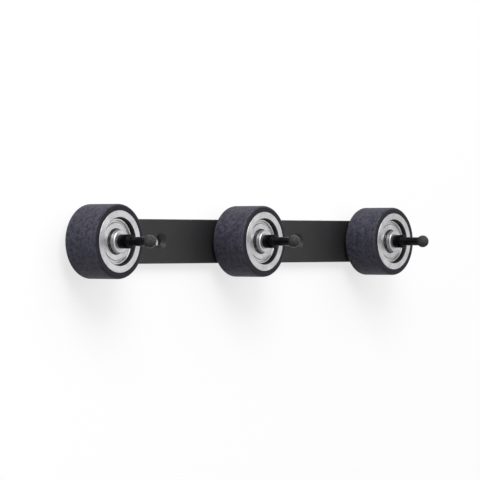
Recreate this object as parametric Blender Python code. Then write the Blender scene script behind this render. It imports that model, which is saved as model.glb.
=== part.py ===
"""Ski wall rack: a flat rail with three rubber-tyred metal rollers on ball bearings.

A ski hangs in each gap between two rollers, held where its sidecut widens, and a strap hangs on
each peg. The rail's rear face lies on the wall at Y = 0 and the rollers stand out along -Y.
Units are metres, +Z is up, X runs along the rail, and the middle roller's axis meets the origin.
"""

import math

import bmesh
import bpy
from mathutils import Matrix, Vector

# Fits
FIT_GAP = 0.0003             # between pieces that are pressed, screwed or seated on each other
RUNNING_GAP = 0.0003         # between pieces that turn past each other

# Rail
STATION_PITCH = 0.127        # from one roller's axis to the next
RAIL_HEIGHT = 0.025
RAIL_THICKNESS = 0.004
RAIL_EDGE = 0.0006           # broken edge along the front and rear outline
SCREW_HOLE = 0.005           # clears a 4.5 mm wood screw
SCREW_SINK = 0.0096          # mouth of the countersink
SINK_ANGLE = math.radians(90)

# Stud, pressed into a blind pocket so that the rail's rear face stays whole
STUD_DIAMETER = 0.005
STUD_HEAD_DIAMETER = 0.0085
STUD_HEAD_THICKNESS = 0.0018
STUD_IN_PEG = 0.0042         # length that the peg is screwed on
STUD_CHAMFER = 0.0006

# Ball bearing: bore 10, outside 26, width 8
BEARING_BORE = 0.010
RACE_WALL = 0.0013           # metal left behind the deepest point of a raceway
BALL_DIAMETER = 0.0048
BALL_COUNT = 7
BALL_SIDE = 0.0016           # from the ball to the bearing's side face
RACE_LAND = 0.0005           # how far a raceway is sunk below the land beside it
RACE_CHAMFER = 0.0004
RIBBON_THICKNESS = 0.0004    # sheet of each half of the ball cage
RIBBON_WIDTH = 0.0018        # across the cage, from its inner to its outer edge

# Shield
SHIELD_SHEET = 0.0004
SHIELD_RECESS = 0.0005       # from the bearing's side face to the shield's flat
SHIELD_TROUGH = 0.0005       # how much deeper the crimped rim lies
SHIELD_SLOPE = 0.0003        # from the rim up to the flat, seen face on
SHIELD_SEAT = 0.0004         # radial depth of the seat turned in the outer race

# Bush, front spacer and the ring between the bearings, which clamp the inner races
SHOULDER_STEP = 0.0005       # how far inside an inner race's land the piece beside it ends
BUSH_CHAMFER = 0.0005
SPACER_STAND = 0.0012        # how far the spacer stands out of the roller's face
SPACER_CHAMFER = 0.0004

# Hub, which holds a bearing sunk in each face
BEARING_RECESS = 0.0022      # from the hub's face to the bearing
HUB_WALL = 0.0037            # from the bearing's seat to the outside
HUB_RIB = 0.0013             # thickness of the rib that parts the two bearings
HUB_RIB_HEIGHT = 0.0017
HUB_MOUTH = 0.0005           # chamfer where a bearing is pressed in
ROLLER_CLEARANCE = 0.0021    # between the rail and the turning roller

# Tyre
TYRE_WALL = 0.0031
TYRE_SHOULDER = 0.0014       # radius of the rounded edges

# Peg
PEG_LENGTH = 0.0246          # from the roller's face to the tip
PEG_WALL = 0.0011            # round the threaded bore
PEG_WEB = 0.0012             # between the end of the bore and the front of the collar
PEG_THROAT = 0.0012          # length of the hollow throat from collar to pin
PEG_PIN_DIAMETER = 0.005
PEG_BALL_DIAMETER = 0.0072
PEG_CHAMFER = 0.0004
PEG_BORE_SPARE = 0.0005      # empty thread past the end of the stud

# Facets
ROLLER_STEPS = 24
RACE_STEPS = 18
INNER_STEPS = 12             # for what lies inside the roller
PEG_STEPS = 16               # for the small pieces and holes in view
BEND_STEPS = 2               # along a quarter-round edge or a throat
RACEWAY_STEPS = 2
RIBBON_STEPS = 3             # of the ball cage, round each ball
BALL_SEGMENTS = 8
BALL_RINGS = 4
HEAD_STEPS = 5               # from the neck of the peg's ball to its tip
END_STEPS = 12               # round each end of the rail

# Places that follow from the sizes above
BALL_RADIUS = BALL_DIAMETER / 2
INNER_RACEWAY = BEARING_BORE / 2 + RACE_WALL
PITCH_RADIUS = INNER_RACEWAY + RUNNING_GAP + BALL_RADIUS
OUTER_RACEWAY = PITCH_RADIUS + BALL_RADIUS + RUNNING_GAP
BEARING_RADIUS = OUTER_RACEWAY + RACE_WALL
BEARING_WIDTH = BALL_DIAMETER + 2 * BALL_SIDE
SHOULDER_RADIUS = INNER_RACEWAY + RACE_LAND - SHOULDER_STEP
HUB_BORE = BEARING_RADIUS + FIT_GAP
HUB_RADIUS = HUB_BORE + HUB_WALL
TYRE_BORE = HUB_RADIUS + FIT_GAP
TYRE_RADIUS = TYRE_BORE + TYRE_WALL
ROLLER_REAR = RAIL_THICKNESS + ROLLER_CLEARANCE
RIB_REAR = ROLLER_REAR + BEARING_RECESS + BEARING_WIDTH + FIT_GAP
RIB_FRONT = RIB_REAR + HUB_RIB
FRONT_BEARING_REAR = RIB_FRONT + FIT_GAP
FRONT_BEARING_FRONT = FRONT_BEARING_REAR + BEARING_WIDTH
ROLLER_FRONT = FRONT_BEARING_FRONT + BEARING_RECESS
SPACER_FRONT = ROLLER_FRONT + SPACER_STAND
PEG_SEAT = SPACER_FRONT + FIT_GAP
STUD_TIP = PEG_SEAT + STUD_IN_PEG
STATIONS = {"left": -STATION_PITCH, "middle": 0.0, "right": STATION_PITCH}


def clear_scene():
    """Removes whatever the file opened with."""
    for thing in list(bpy.data.objects):
        bpy.data.objects.remove(thing, do_unlink=True)


def material(name, colour, roughness, metallic):
    """A Principled material of one colour."""
    made = bpy.data.materials.new(name)
    made.use_nodes = True
    shader = made.node_tree.nodes["Principled BSDF"]
    shader.inputs["Base Color"].default_value = (*colour, 1.0)
    shader.inputs["Roughness"].default_value = roughness
    shader.inputs["Metallic"].default_value = metallic
    made.diffuse_color = (*colour, 1.0)
    return made


def finish_mesh(bm, name, sharp_angle=math.radians(35)):
    """Closes a bmesh into a smooth-shaded mesh whose faces point out."""
    bmesh.ops.remove_doubles(bm, verts=bm.verts, dist=1e-6)
    bmesh.ops.dissolve_degenerate(bm, edges=bm.edges, dist=1e-7)
    bmesh.ops.recalc_face_normals(bm, faces=bm.faces)
    mesh = bpy.data.meshes.new(name)
    bm.to_mesh(mesh)
    bm.free()
    mesh.shade_smooth()
    mesh.set_sharp_from_angle(angle=sharp_angle)
    return mesh


def place(name, mesh, look, location, half_turn=False):
    """Puts a mesh in the scene as a named piece; a half turn swaps its front and rear."""
    piece = bpy.data.objects.new(name, mesh)
    piece.location = location
    if half_turn:
        piece.rotation_euler = (0.0, 0.0, math.pi)
    if not mesh.materials:
        mesh.materials.append(look)
    bpy.context.scene.collection.objects.link(piece)
    return piece


def arc(centre, radius, start, end, steps):
    """Points of an arc in a section's plane, both ends included."""
    points = []
    for i in range(steps + 1):
        angle = start + (end - start) * i / steps
        points.append((centre[0] + radius * math.cos(angle), centre[1] + radius * math.sin(angle)))
    return points


def turned(name, section, steps, closed=True):
    """Turns a section about the Y axis. Its points are (radius, forward), forward being -Y.

    A closed section makes a ring. An open one starts and ends on the axis and makes a solid.
    """
    bm = bmesh.new()
    verts = [bm.verts.new((radius, -forward, 0.0)) for radius, forward in section]
    pairs = list(zip(verts, verts[1:]))
    if closed:
        pairs.append((verts[-1], verts[0]))
    edges = [bm.edges.new(pair) for pair in pairs]
    bmesh.ops.spin(bm, geom=verts + edges, cent=(0, 0, 0), axis=(0, 1, 0),
                   angle=2 * math.pi, steps=steps, use_merge=True)
    return finish_mesh(bm, name)


def cutter(name, mesh, location):
    """A tool body: it cuts another piece and isn't part of the rack."""
    tool = bpy.data.objects.new(name, mesh)
    tool.location = location
    tool.hide_render = True
    tool.display_type = "WIRE"
    bpy.context.scene.collection.objects.link(tool)
    return tool


def boolean(piece, tool, operation):
    """Adds an exact Boolean with one tool body."""
    step = piece.modifiers.new(tool.name, "BOOLEAN")
    step.solver = "EXACT"
    step.operation = operation
    step.object = tool


def screw_cutter_mesh():
    """Shank hole and countersink of a wall screw, sunk from the rail's front face."""
    spare = RAIL_THICKNESS
    hole = SCREW_HOLE / 2
    mouth = SCREW_SINK / 2
    sink_depth = (mouth - hole) / math.tan(SINK_ANGLE / 2)
    front = RAIL_THICKNESS
    flare = mouth + spare * math.tan(SINK_ANGLE / 2)
    section = [(0.0, -spare), (hole, -spare), (hole, front - sink_depth), (flare, front + spare),
               (0.0, front + spare)]
    return turned("wall_screw_cutter", section, PEG_STEPS, closed=False)


def pocket_cutter_mesh():
    """Blind pocket that takes the stud's head from the front."""
    radius = STUD_HEAD_DIAMETER / 2 + FIT_GAP
    floor = RAIL_THICKNESS - STUD_HEAD_THICKNESS - FIT_GAP
    section = [(0.0, floor), (radius, floor), (radius, 2 * RAIL_THICKNESS), (0.0, 2 * RAIL_THICKNESS)]
    return turned("stud_pocket_cutter", section, PEG_STEPS, closed=False)


def rail_mesh():
    """Flat bar whose half-round ends share their centres with the end rollers."""
    radius = RAIL_HEIGHT / 2
    outline = arc((STATION_PITCH, 0.0), radius, -math.pi / 2, math.pi / 2, END_STEPS)
    outline += arc((-STATION_PITCH, 0.0), radius, math.pi / 2, 3 * math.pi / 2, END_STEPS)
    bm = bmesh.new()
    face = bm.faces.new([bm.verts.new((x, 0.0, z)) for x, z in outline])
    grown = bmesh.ops.extrude_face_region(bm, geom=[face])
    front = [item for item in grown["geom"] if isinstance(item, bmesh.types.BMVert)]
    bmesh.ops.translate(bm, vec=(0.0, -RAIL_THICKNESS, 0.0), verts=front)
    rims = [edge for edge in bm.edges if abs(edge.verts[0].co.y - edge.verts[1].co.y) < 1e-9]
    bmesh.ops.bevel(bm, geom=rims, offset=RAIL_EDGE, affect="EDGES", segments=1, profile=0.5,
                    material=-1)
    return finish_mesh(bm, "rail")


def make_rail(look):
    """The rail with its pockets and wall-screw holes."""
    rail = place("rail", rail_mesh(), look, (0.0, 0.0, 0.0))
    pocket = pocket_cutter_mesh()
    for side, x in STATIONS.items():
        boolean(rail, cutter(f"{side}_pocket_cutter", pocket, (x, 0.0, 0.0)), "DIFFERENCE")
    hole = screw_cutter_mesh()
    for side, x in (("left", -STATION_PITCH / 2), ("right", STATION_PITCH / 2)):
        boolean(rail, cutter(f"{side}_screw_cutter", hole, (x, 0.0, 0.0)), "DIFFERENCE")


def stud_mesh():
    """Flat-headed stud, from its head in the rail to its end inside the peg."""
    shank = STUD_DIAMETER / 2
    head = STUD_HEAD_DIAMETER / 2
    foot = RAIL_THICKNESS - STUD_HEAD_THICKNESS
    section = [(0.0, foot), (head, foot), (head, RAIL_THICKNESS), (shank, RAIL_THICKNESS),
               (shank, STUD_TIP - STUD_CHAMFER), (shank - STUD_CHAMFER, STUD_TIP), (0.0, STUD_TIP)]
    return turned("stud", section, INNER_STEPS, closed=False)


def bush_mesh():
    """Sleeve that both inner races sit on; its collar holds them off the rail."""
    bore = STUD_DIAMETER / 2 + FIT_GAP
    body = BEARING_BORE / 2 - FIT_GAP
    foot = RAIL_THICKNESS + FIT_GAP
    shoulder = ROLLER_REAR + BEARING_RECESS - FIT_GAP
    end = FRONT_BEARING_FRONT
    section = [(bore, foot), (SHOULDER_RADIUS, foot), (SHOULDER_RADIUS, shoulder), (body, shoulder),
               (body, end - BUSH_CHAMFER), (body - BUSH_CHAMFER, end), (bore, end)]
    return turned("bush", section, INNER_STEPS)


def distance_ring_mesh():
    """Ring on the bush that keeps the two inner races as far apart as the hub's rib does the outer."""
    bore = BEARING_BORE / 2
    section = [(bore, RIB_REAR), (SHOULDER_RADIUS, RIB_REAR), (SHOULDER_RADIUS, RIB_FRONT),
               (bore, RIB_FRONT)]
    return turned("distance_ring", section, INNER_STEPS)


def spacer_mesh():
    """Thick washer from the front inner race out to the peg."""
    bore = STUD_DIAMETER / 2 + FIT_GAP
    rear = FRONT_BEARING_FRONT + FIT_GAP
    section = [(bore, rear), (SHOULDER_RADIUS, rear), (SHOULDER_RADIUS, SPACER_FRONT - SPACER_CHAMFER),
               (SHOULDER_RADIUS - SPACER_CHAMFER, SPACER_FRONT), (bore, SPACER_FRONT)]
    return turned("spacer", section, PEG_STEPS)


def raceway(bottom, land, outward):
    """Section points of a ball groove, from the bearing's inner side to its shield side."""
    radius = BALL_RADIUS + RUNNING_GAP
    sink = abs(bottom - land)
    half = math.acos((radius - sink) / radius)
    middle = 0.0 if outward else math.pi
    turn = half if outward else -half
    return arc((PITCH_RADIUS, 0.0), radius, middle - turn, middle + turn, RACEWAY_STEPS)


def outer_race_mesh():
    """Outer race about the bearing's centre, with the shield's seat at its front."""
    half = BEARING_WIDTH / 2
    land = OUTER_RACEWAY - RACE_LAND
    seat = land + SHIELD_SEAT
    seat_floor = half - SHIELD_RECESS - SHIELD_TROUGH - SHIELD_SHEET - FIT_GAP
    section = [(BEARING_RADIUS - RACE_CHAMFER, -half), (land, -half)]
    section += raceway(OUTER_RACEWAY, land, outward=True)
    section += [(land, seat_floor), (seat, seat_floor), (seat, half),
                (BEARING_RADIUS - RACE_CHAMFER, half), (BEARING_RADIUS, half - RACE_CHAMFER),
                (BEARING_RADIUS, RACE_CHAMFER - half)]
    return turned("outer_race", section, RACE_STEPS)


def inner_race_mesh():
    """Inner race about the bearing's centre."""
    half = BEARING_WIDTH / 2
    bore = BEARING_BORE / 2
    land = INNER_RACEWAY + RACE_LAND
    section = [(bore, RACE_CHAMFER - half), (bore + RACE_CHAMFER, -half), (land, -half)]
    section += raceway(INNER_RACEWAY, land, outward=False)
    section += [(land, half), (bore + RACE_CHAMFER, half), (bore, half - RACE_CHAMFER)]
    return turned("inner_race", section, INNER_STEPS)


def shield_mesh():
    """Dished sheet ring: a deep crimped rim, a slope and a flat that clears the cage."""
    half = BEARING_WIDTH / 2
    rim = OUTER_RACEWAY - RACE_LAND + SHIELD_SEAT - FIT_GAP
    brow = PITCH_RADIUS + RIBBON_WIDTH / 2 + RUNNING_GAP
    eye = INNER_RACEWAY + RACE_LAND + RUNNING_GAP
    flat = half - SHIELD_RECESS
    trough = flat - SHIELD_TROUGH
    front = [(rim, trough), (brow + SHIELD_SLOPE, trough), (brow, flat), (eye, flat)]
    back = [(radius, forward - SHIELD_SHEET) for radius, forward in reversed(front)]
    return turned("shield", front + back, RACE_STEPS)


def ribbon_bmesh():
    """Ball cage: two thin rings that close between the balls and bulge round each of them."""
    pocket = BALL_RADIUS + RIBBON_THICKNESS
    edge = math.acos(RIBBON_THICKNESS / pocket)
    bends = [edge * (2 * i / RIBBON_STEPS - 1) for i in range(RIBBON_STEPS + 1)]
    bm = bmesh.new()
    rings = []
    for ball in range(BALL_COUNT):
        centre = 2 * math.pi * ball / BALL_COUNT
        for bend in bends:
            angle = centre + pocket * math.sin(bend) / PITCH_RADIUS
            height = pocket * math.cos(bend)
            turn = Matrix.Rotation(-angle, 3, "Y")
            corners = [(PITCH_RADIUS + RIBBON_WIDTH * across, height * up, 0.0)
                       for across, up in ((-0.5, -1), (0.5, -1), (0.5, 1), (-0.5, 1))]
            rings.append([bm.verts.new(turn @ Vector(corner)) for corner in corners])
    for ring, following in zip(rings, rings[1:] + rings[:1]):
        for side in range(4):
            after = (side + 1) % 4
            bm.faces.new((ring[side], ring[after], following[after], following[side]))
    return bm


def balls_bmesh():
    """The balls of one bearing, each with its poles on the spokes of the cage."""
    bm = bmesh.new()
    upright = Matrix.Rotation(math.pi / 2, 4, "Y")
    outward = Matrix.Translation((PITCH_RADIUS, 0.0, 0.0))
    for ball in range(BALL_COUNT):
        spoke = Matrix.Rotation(-2 * math.pi * ball / BALL_COUNT, 4, "Y")
        bmesh.ops.create_uvsphere(bm, u_segments=BALL_SEGMENTS, v_segments=BALL_RINGS,
                                  radius=BALL_RADIUS, matrix=spoke @ outward @ upright)
    return bm


def ball_cage_mesh(look):
    """Balls and cage joined into one body that can be repeated."""
    blank = place("ball_cage_blank", finish_mesh(ribbon_bmesh(), "ribbon"), look, (0.0, 0.0, 0.0))
    balls = cutter("balls", finish_mesh(balls_bmesh(), "balls"), (0.0, 0.0, 0.0))
    boolean(blank, balls, "UNION")
    bpy.context.view_layer.update()
    evaluated = blank.evaluated_get(bpy.context.evaluated_depsgraph_get())
    joined = bpy.data.meshes.new_from_object(evaluated)
    joined.name = "ball_cage"
    for thing in (blank, balls):
        bpy.data.objects.remove(thing, do_unlink=True)
    return joined


def hub_mesh():
    """Metal roller with a bearing seat turned in from each face, as far as the rib between them."""
    rib = HUB_BORE - HUB_RIB_HEIGHT
    section = [(HUB_RADIUS, ROLLER_REAR), (HUB_RADIUS, ROLLER_FRONT),
               (HUB_BORE + HUB_MOUTH, ROLLER_FRONT), (HUB_BORE, ROLLER_FRONT - HUB_MOUTH),
               (HUB_BORE, RIB_FRONT), (rib, RIB_FRONT), (rib, RIB_REAR), (HUB_BORE, RIB_REAR),
               (HUB_BORE, ROLLER_REAR + HUB_MOUTH), (HUB_BORE + HUB_MOUTH, ROLLER_REAR)]
    return turned("hub", section, ROLLER_STEPS)


def tyre_mesh():
    """Rubber tyre with rounded shoulders, stretched over the hub."""
    waist = TYRE_RADIUS - TYRE_SHOULDER
    section = [(TYRE_BORE, ROLLER_FRONT), (TYRE_BORE, ROLLER_REAR)]
    section += arc((waist, ROLLER_REAR + TYRE_SHOULDER), TYRE_SHOULDER, -math.pi / 2, 0.0, BEND_STEPS)
    section += arc((waist, ROLLER_FRONT - TYRE_SHOULDER), TYRE_SHOULDER, 0.0, math.pi / 2, BEND_STEPS)
    return turned("tyre", section, ROLLER_STEPS)


def peg_mesh():
    """Nut, pin and ball head turned in one, with a blind threaded bore at the rear."""
    bore = STUD_DIAMETER / 2 + FIT_GAP
    collar = bore + PEG_WALL
    pin = PEG_PIN_DIAMETER / 2
    head = PEG_BALL_DIAMETER / 2
    floor = STUD_TIP + PEG_BORE_SPARE
    tip = ROLLER_FRONT + PEG_LENGTH
    collar_front = floor + PEG_WEB
    neck = math.asin(pin / head)
    throat = collar - PEG_CHAMFER - pin
    section = [(0.0, floor), (bore, floor), (bore, PEG_SEAT), (collar - PEG_CHAMFER, PEG_SEAT),
               (collar, PEG_SEAT + PEG_CHAMFER), (collar, collar_front - PEG_CHAMFER)]
    for i in range(BEND_STEPS + 1):
        angle = math.pi / 2 * i / BEND_STEPS
        section.append((pin + throat * (1 - math.sin(angle)),
                        collar_front + PEG_THROAT * (1 - math.cos(angle))))
    section += [(head * math.sin(angle), tip - head - head * math.cos(angle))
                for angle in (neck + (math.pi - neck) * i / HEAD_STEPS for i in range(HEAD_STEPS))]
    section += [(0.0, tip)]
    return turned("peg", section, PEG_STEPS, closed=False)


def make_bearing(side, end, meshes, looks, x, forward, half_turn):
    """Places one bearing's four pieces about its centre; its shield faces out of the roller."""
    for part in ("outer_race", "inner_race", "ball_cage", "shield"):
        place(f"{side}_{end}_{part}", meshes[part], looks[part], (x, -forward, 0.0), half_turn)


def main():
    clear_scene()
    powder = material("black powder coat", (0.022, 0.022, 0.024), 0.55, 0.0)
    rubber = material("black rubber", (0.030, 0.029, 0.033), 0.62, 0.0)
    enamel = material("gloss black enamel", (0.010, 0.010, 0.011), 0.22, 0.0)
    ground = material("ground bearing steel", (0.72, 0.72, 0.73), 0.22, 1.0)
    satin = material("turned steel", (0.68, 0.68, 0.69), 0.28, 1.0)
    zinc = material("zinc-plated steel", (0.62, 0.63, 0.65), 0.34, 1.0)
    sheet = material("pressed shield steel", (0.66, 0.66, 0.68), 0.30, 1.0)

    make_rail(powder)
    looks = {"outer_race": ground, "inner_race": ground, "ball_cage": ground, "shield": sheet}
    meshes = {"outer_race": outer_race_mesh(), "inner_race": inner_race_mesh(),
              "ball_cage": ball_cage_mesh(ground), "shield": shield_mesh()}
    turned_pieces = (("stud", stud_mesh(), zinc), ("bush", bush_mesh(), zinc),
                     ("distance_ring", distance_ring_mesh(), zinc), ("spacer", spacer_mesh(), satin),
                     ("hub", hub_mesh(), satin), ("tyre", tyre_mesh(), rubber),
                     ("peg", peg_mesh(), enamel))
    rear = ROLLER_REAR + BEARING_RECESS + BEARING_WIDTH / 2
    front = FRONT_BEARING_REAR + BEARING_WIDTH / 2
    for side, x in STATIONS.items():
        for part, mesh, look in turned_pieces:
            place(f"{side}_{part}", mesh, look, (x, 0.0, 0.0))
        make_bearing(side, "rear", meshes, looks, x, rear, True)
        make_bearing(side, "front", meshes, looks, x, front, False)


main()
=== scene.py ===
"""Ski wall rack, dressed for a picture: three rubber-tyred rollers on ball bearings along a rail.

Each piece is modelled on the solid that it stands for, at the same place and size, in metres. The
wall is the plane Y = 0, the rollers stand out along -Y, X runs along the rail and +Z is up.
"""

import math

import bmesh
import bpy
from bpy.props import FloatProperty, FloatVectorProperty, IntProperty, PointerProperty
from mathutils import Matrix, Vector


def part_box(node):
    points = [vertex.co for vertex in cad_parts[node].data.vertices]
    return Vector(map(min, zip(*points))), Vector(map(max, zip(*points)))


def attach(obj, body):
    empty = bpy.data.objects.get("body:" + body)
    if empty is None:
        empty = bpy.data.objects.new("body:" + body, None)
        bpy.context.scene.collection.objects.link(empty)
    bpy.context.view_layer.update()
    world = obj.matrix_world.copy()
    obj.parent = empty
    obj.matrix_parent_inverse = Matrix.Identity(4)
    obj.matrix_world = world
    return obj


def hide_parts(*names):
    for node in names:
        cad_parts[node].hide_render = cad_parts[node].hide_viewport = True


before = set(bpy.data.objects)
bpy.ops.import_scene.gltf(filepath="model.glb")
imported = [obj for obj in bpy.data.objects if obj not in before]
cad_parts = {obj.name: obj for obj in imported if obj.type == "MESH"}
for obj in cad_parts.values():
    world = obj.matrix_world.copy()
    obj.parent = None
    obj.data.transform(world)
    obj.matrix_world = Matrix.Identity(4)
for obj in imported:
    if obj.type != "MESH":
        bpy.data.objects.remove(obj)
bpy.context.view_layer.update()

bl_info = {
    "name": "Ski Wall Rack",
    "version": (1, 0, 0),
    "blender": (4, 5, 0),
    "location": "3D View > Sidebar > Ski Rack",
    "description": "Models a wall rack with rubber-tyred rollers on ball bearings, and its studio",
    "category": "Add Mesh",
}

SIDES = ("left", "middle", "right")
ENDS = ("rear", "front")
SNUG = 0.00002           # between finished pieces that are pressed or clamped together

# Roundings of turned edges
CRISP = 0.0001           # in an inner corner, and of pressed sheet
BROKEN = 0.0002          # of an edge that is only broken
ROUNDED = 0.0003         # of an edge that is visibly rounded
RACE_EDGE = 0.0004       # of a race towards its seat

# Facets
END_STEPS = 48           # round each end of the rail
HOLE_STEPS = 64          # round a hole or pocket of the rail
STUD_STEPS = 48
PEG_STEPS = 72
HEAD_STEPS = 28          # from the neck of the peg's ball to its tip
THREAD_ROWS = 10         # along one turn of a thread
GROOVE_STEPS = 12        # across a ball groove
CUP_STEPS = 40           # of the cage, from one ball to the next
RIVET_STEPS = 12
BALL_SEGMENTS = 28
BALL_RINGS = 18


def across(node):
    """Outer radius of a round CAD node, from its height."""
    low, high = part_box(node)
    return (high.z - low.z) / 2


def reach(node):
    """How far a CAD node's rear and front lie in front of the wall."""
    low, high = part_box(node)
    return -high.y, -low.y


def station(side):
    """X of a roller's axis."""
    low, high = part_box(f"{side}_tyre")
    return (low.x + high.x) / 2


# Places, read from the CAD nodes
RAIL_LOW, RAIL_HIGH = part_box("rail")
ROLLER_REAR, ROLLER_FRONT = reach("middle_tyre")
PITCH = station("right")
BUSH_REAR, BUSH_FRONT = reach("middle_bush")
RIB_REAR, RIB_FRONT = reach("middle_distance_ring")
SPACER_FRONT = reach("middle_spacer")[1]
STUD_FOOT, STUD_TIP = reach("middle_stud")
PEG_TIP = reach("middle_peg")[1]
BEARING_REAR, BEARING_FRONT = reach("middle_front_outer_race")
BEARING_WIDTH = BEARING_FRONT - BEARING_REAR
SHIELD_FLOOR, SHIELD_FLAT = reach("middle_front_shield")
BUSH_SHOULDER = reach("middle_rear_outer_race")[0]


def length(name, description, default):
    """A distance that a user can change."""
    return FloatProperty(name=name, description=description, default=default, min=0.0,
                         unit="LENGTH", subtype="DISTANCE", precision=5)


def colour(name, place, default):
    """A colour that a user can change."""
    return FloatVectorProperty(name=name, description=f"Colour of the {place}", default=default,
                               size=3, min=0.0, max=1.0, subtype="COLOR")


class RackSizes(bpy.types.PropertyGroup):
    """Sizes of the rack's pieces."""

    tyre_radius: length("Tyre radius", "Outside of the rubber", across("middle_tyre"))
    tyre_shoulder: length("Tyre shoulder", "Radius of the tyre's rounded edges", 0.0015)
    tyre_lip: length("Tyre lip", "Rounding of the rubber where it meets the metal", 0.00035)
    hub_radius: length("Hub radius", "Outside of the metal roller", across("middle_hub"))
    hub_mouth: length("Hub mouth", "Chamfer where a bearing is pressed in", 0.0005)
    hub_rib: length("Hub rib", "Inside radius of the rib between the bearings", 0.0116)
    race_radius: length("Outer race", "Outside radius of a bearing", across("middle_front_outer_race"))
    bore: length("Bearing bore", "Radius of the hole in the inner race", 0.005)
    inner_land: length("Inner land", "Radius of the inner race beside its raceway", 0.0068)
    inner_raceway: length("Inner raceway", "Deepest radius of the inner raceway", 0.0063)
    outer_land: length("Outer land", "Radius of the outer race beside its raceway", 0.0112)
    outer_raceway: length("Outer raceway", "Deepest radius of the outer raceway", 0.0117)
    shield_seat: length("Shield seat", "Radius of the step that holds the shield", 0.0116)
    shield_rim: length("Shield rim", "Outer radius of the shield", 0.01155)
    shield_slope: length("Shield slope", "Radius at the foot of the shield's slope", 0.0105)
    shield_brow: length("Shield brow", "Radius at the top of the shield's slope", 0.0102)
    shield_eye: length("Shield eye", "Radius of the shield's hole", 0.0071)
    shield_sheet: length("Shield sheet", "Thickness of the shield", 0.0004)
    ball_radius: length("Ball radius", "Radius of each ball", 0.0024)
    ball_circle: length("Ball circle", "Radius of the circle through the balls", 0.009)
    cage_sheet: length("Cage sheet", "Thickness of each half of the cage", 0.0004)
    cage_width: length("Cage width", "Width of the cage's ribbon", 0.0018)
    bush_bore: length("Bush bore", "Radius of the hole in the bush and the spacer", 0.0028)
    shoulder: length("Shoulder", "Radius of the pieces beside the inner races", across("middle_spacer"))
    spacer_edge: length("Spacer edge", "Chamfer round the spacer's face", 0.0004)
    stud_radius: length("Stud radius", "Outside radius of the stud's thread", 0.0025)
    stud_head: length("Stud head", "Radius of the stud's head", across("middle_stud"))
    stud_head_height: length("Stud head height", "Thickness of the stud's head", 0.0018)
    thread_pitch: length("Thread pitch", "Rise of the stud's thread in one turn", 0.0008)
    thread_depth: length("Thread depth", "Radial depth of the stud's thread", 0.00042)
    peg_collar: length("Peg collar", "Radius of the peg's collar", across("middle_peg"))
    peg_bore: length("Peg bore", "Radius of the peg's threaded hole", 0.0028)
    peg_spare: length("Peg spare", "Empty thread past the end of the stud", 0.0005)
    peg_web: length("Peg web", "From the end of the hole to the collar's front", 0.0012)
    peg_throat: length("Peg throat", "Length of the hollow between collar and pin", 0.0012)
    peg_pin: length("Peg pin", "Radius of the peg's pin", 0.0025)
    peg_ball: length("Peg ball", "Radius of the peg's ball head", 0.0036)
    rail_edge: length("Rail edge", "Rounding along the rail's outline", 0.0006)
    screw_hole: length("Screw hole", "Radius of a wall-screw hole", 0.0025)
    screw_sink: length("Screw countersink", "Radius of a countersink at the rail's front", 0.0048)
    pocket: length("Stud pocket", "Radius of the pocket for a stud's head", 0.00455)
    ball_count: IntProperty(name="Balls", description="Balls in each bearing", default=7, min=3)
    turn_steps: IntProperty(name="Steps", description="Facets round a turned piece", default=144, min=16)


class RackColours(bpy.types.PropertyGroup):
    """Colours of the rack's finishes."""

    rubber: colour("Rubber", "tyres' ground tread", (0.040, 0.039, 0.055))
    powder: colour("Powder coat", "rail", (0.012, 0.012, 0.013))
    enamel: colour("Enamel", "pegs", (0.0025, 0.0025, 0.003))
    turned: colour("Turned steel", "hubs and spacers", (0.46, 0.46, 0.47))
    ground: colour("Ground steel", "races", (0.51, 0.51, 0.515))
    pressed: colour("Pressed steel", "shields and cages", (0.48, 0.48, 0.49))
    zinc: colour("Zinc plate", "bushes, rings and studs", (0.44, 0.44, 0.45))
    mirror: colour("Ball steel", "balls", (0.62, 0.62, 0.63))
    wall: colour("Wall", "wall and floor", (0.90, 0.90, 0.90))


def power(name, place, default):
    """A lamp's power."""
    return FloatProperty(name=name, description=f"Power of the lamp {place}", default=default,
                         min=0.0, unit="POWER")


def strength(name, place, default):
    """The strength of a part of the world's light."""
    return FloatProperty(name=name, description=f"Strength of the light from {place}",
                         default=default, min=0.0)


def whiteness(name, surface, default):
    """How white a surface of the stage is where it is seen."""
    return FloatProperty(name=name, description=f"How far the {surface} is lifted to plain white",
                         default=default, min=0.0, max=1.0)


class RackStage(bpy.types.PropertyGroup):
    """Camera, lamps, world and paint."""

    camera_place: FloatVectorProperty(name="Camera", description="Where the camera stands", size=3,
                                      default=(-1.3914, -1.1185, 0.0008), unit="LENGTH", subtype="XYZ")
    camera_heading: FloatProperty(name="Heading", description="Camera's turn from square to the wall",
                                  default=math.radians(51.46), unit="ROTATION", subtype="ANGLE")
    focal_pixels: FloatProperty(name="Focal length", default=1028.0, min=1.0,
                                description="Focal length in pixels of the 480-pixel photograph")
    window_pixels: FloatProperty(name="Window", default=160.0, min=1.0,
                                 description="Side of the square of the photograph that is framed")
    key_power: power("Key lamp", "high on the left", 23.0)
    rear_power: power("Rear lamp", "behind the wall", 9.0)
    front_power: power("Front lamp", "that faces the rollers", 2.5)
    nadir: strength("Nadir", "underneath", 0.04)
    horizon: strength("Horizon", "level", 0.28)
    zenith: strength("Zenith", "overhead", 2.0)
    wall_white: whiteness("Wall white", "wall", 0.72)
    sky_white: whiteness("Sky white", "world", 0.95)
    floor_white: whiteness("Floor white", "floor", 0.75)
    return_white: whiteness("Return white", "return beside the wall", 0.94)


# Sections and turned shapes


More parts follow.
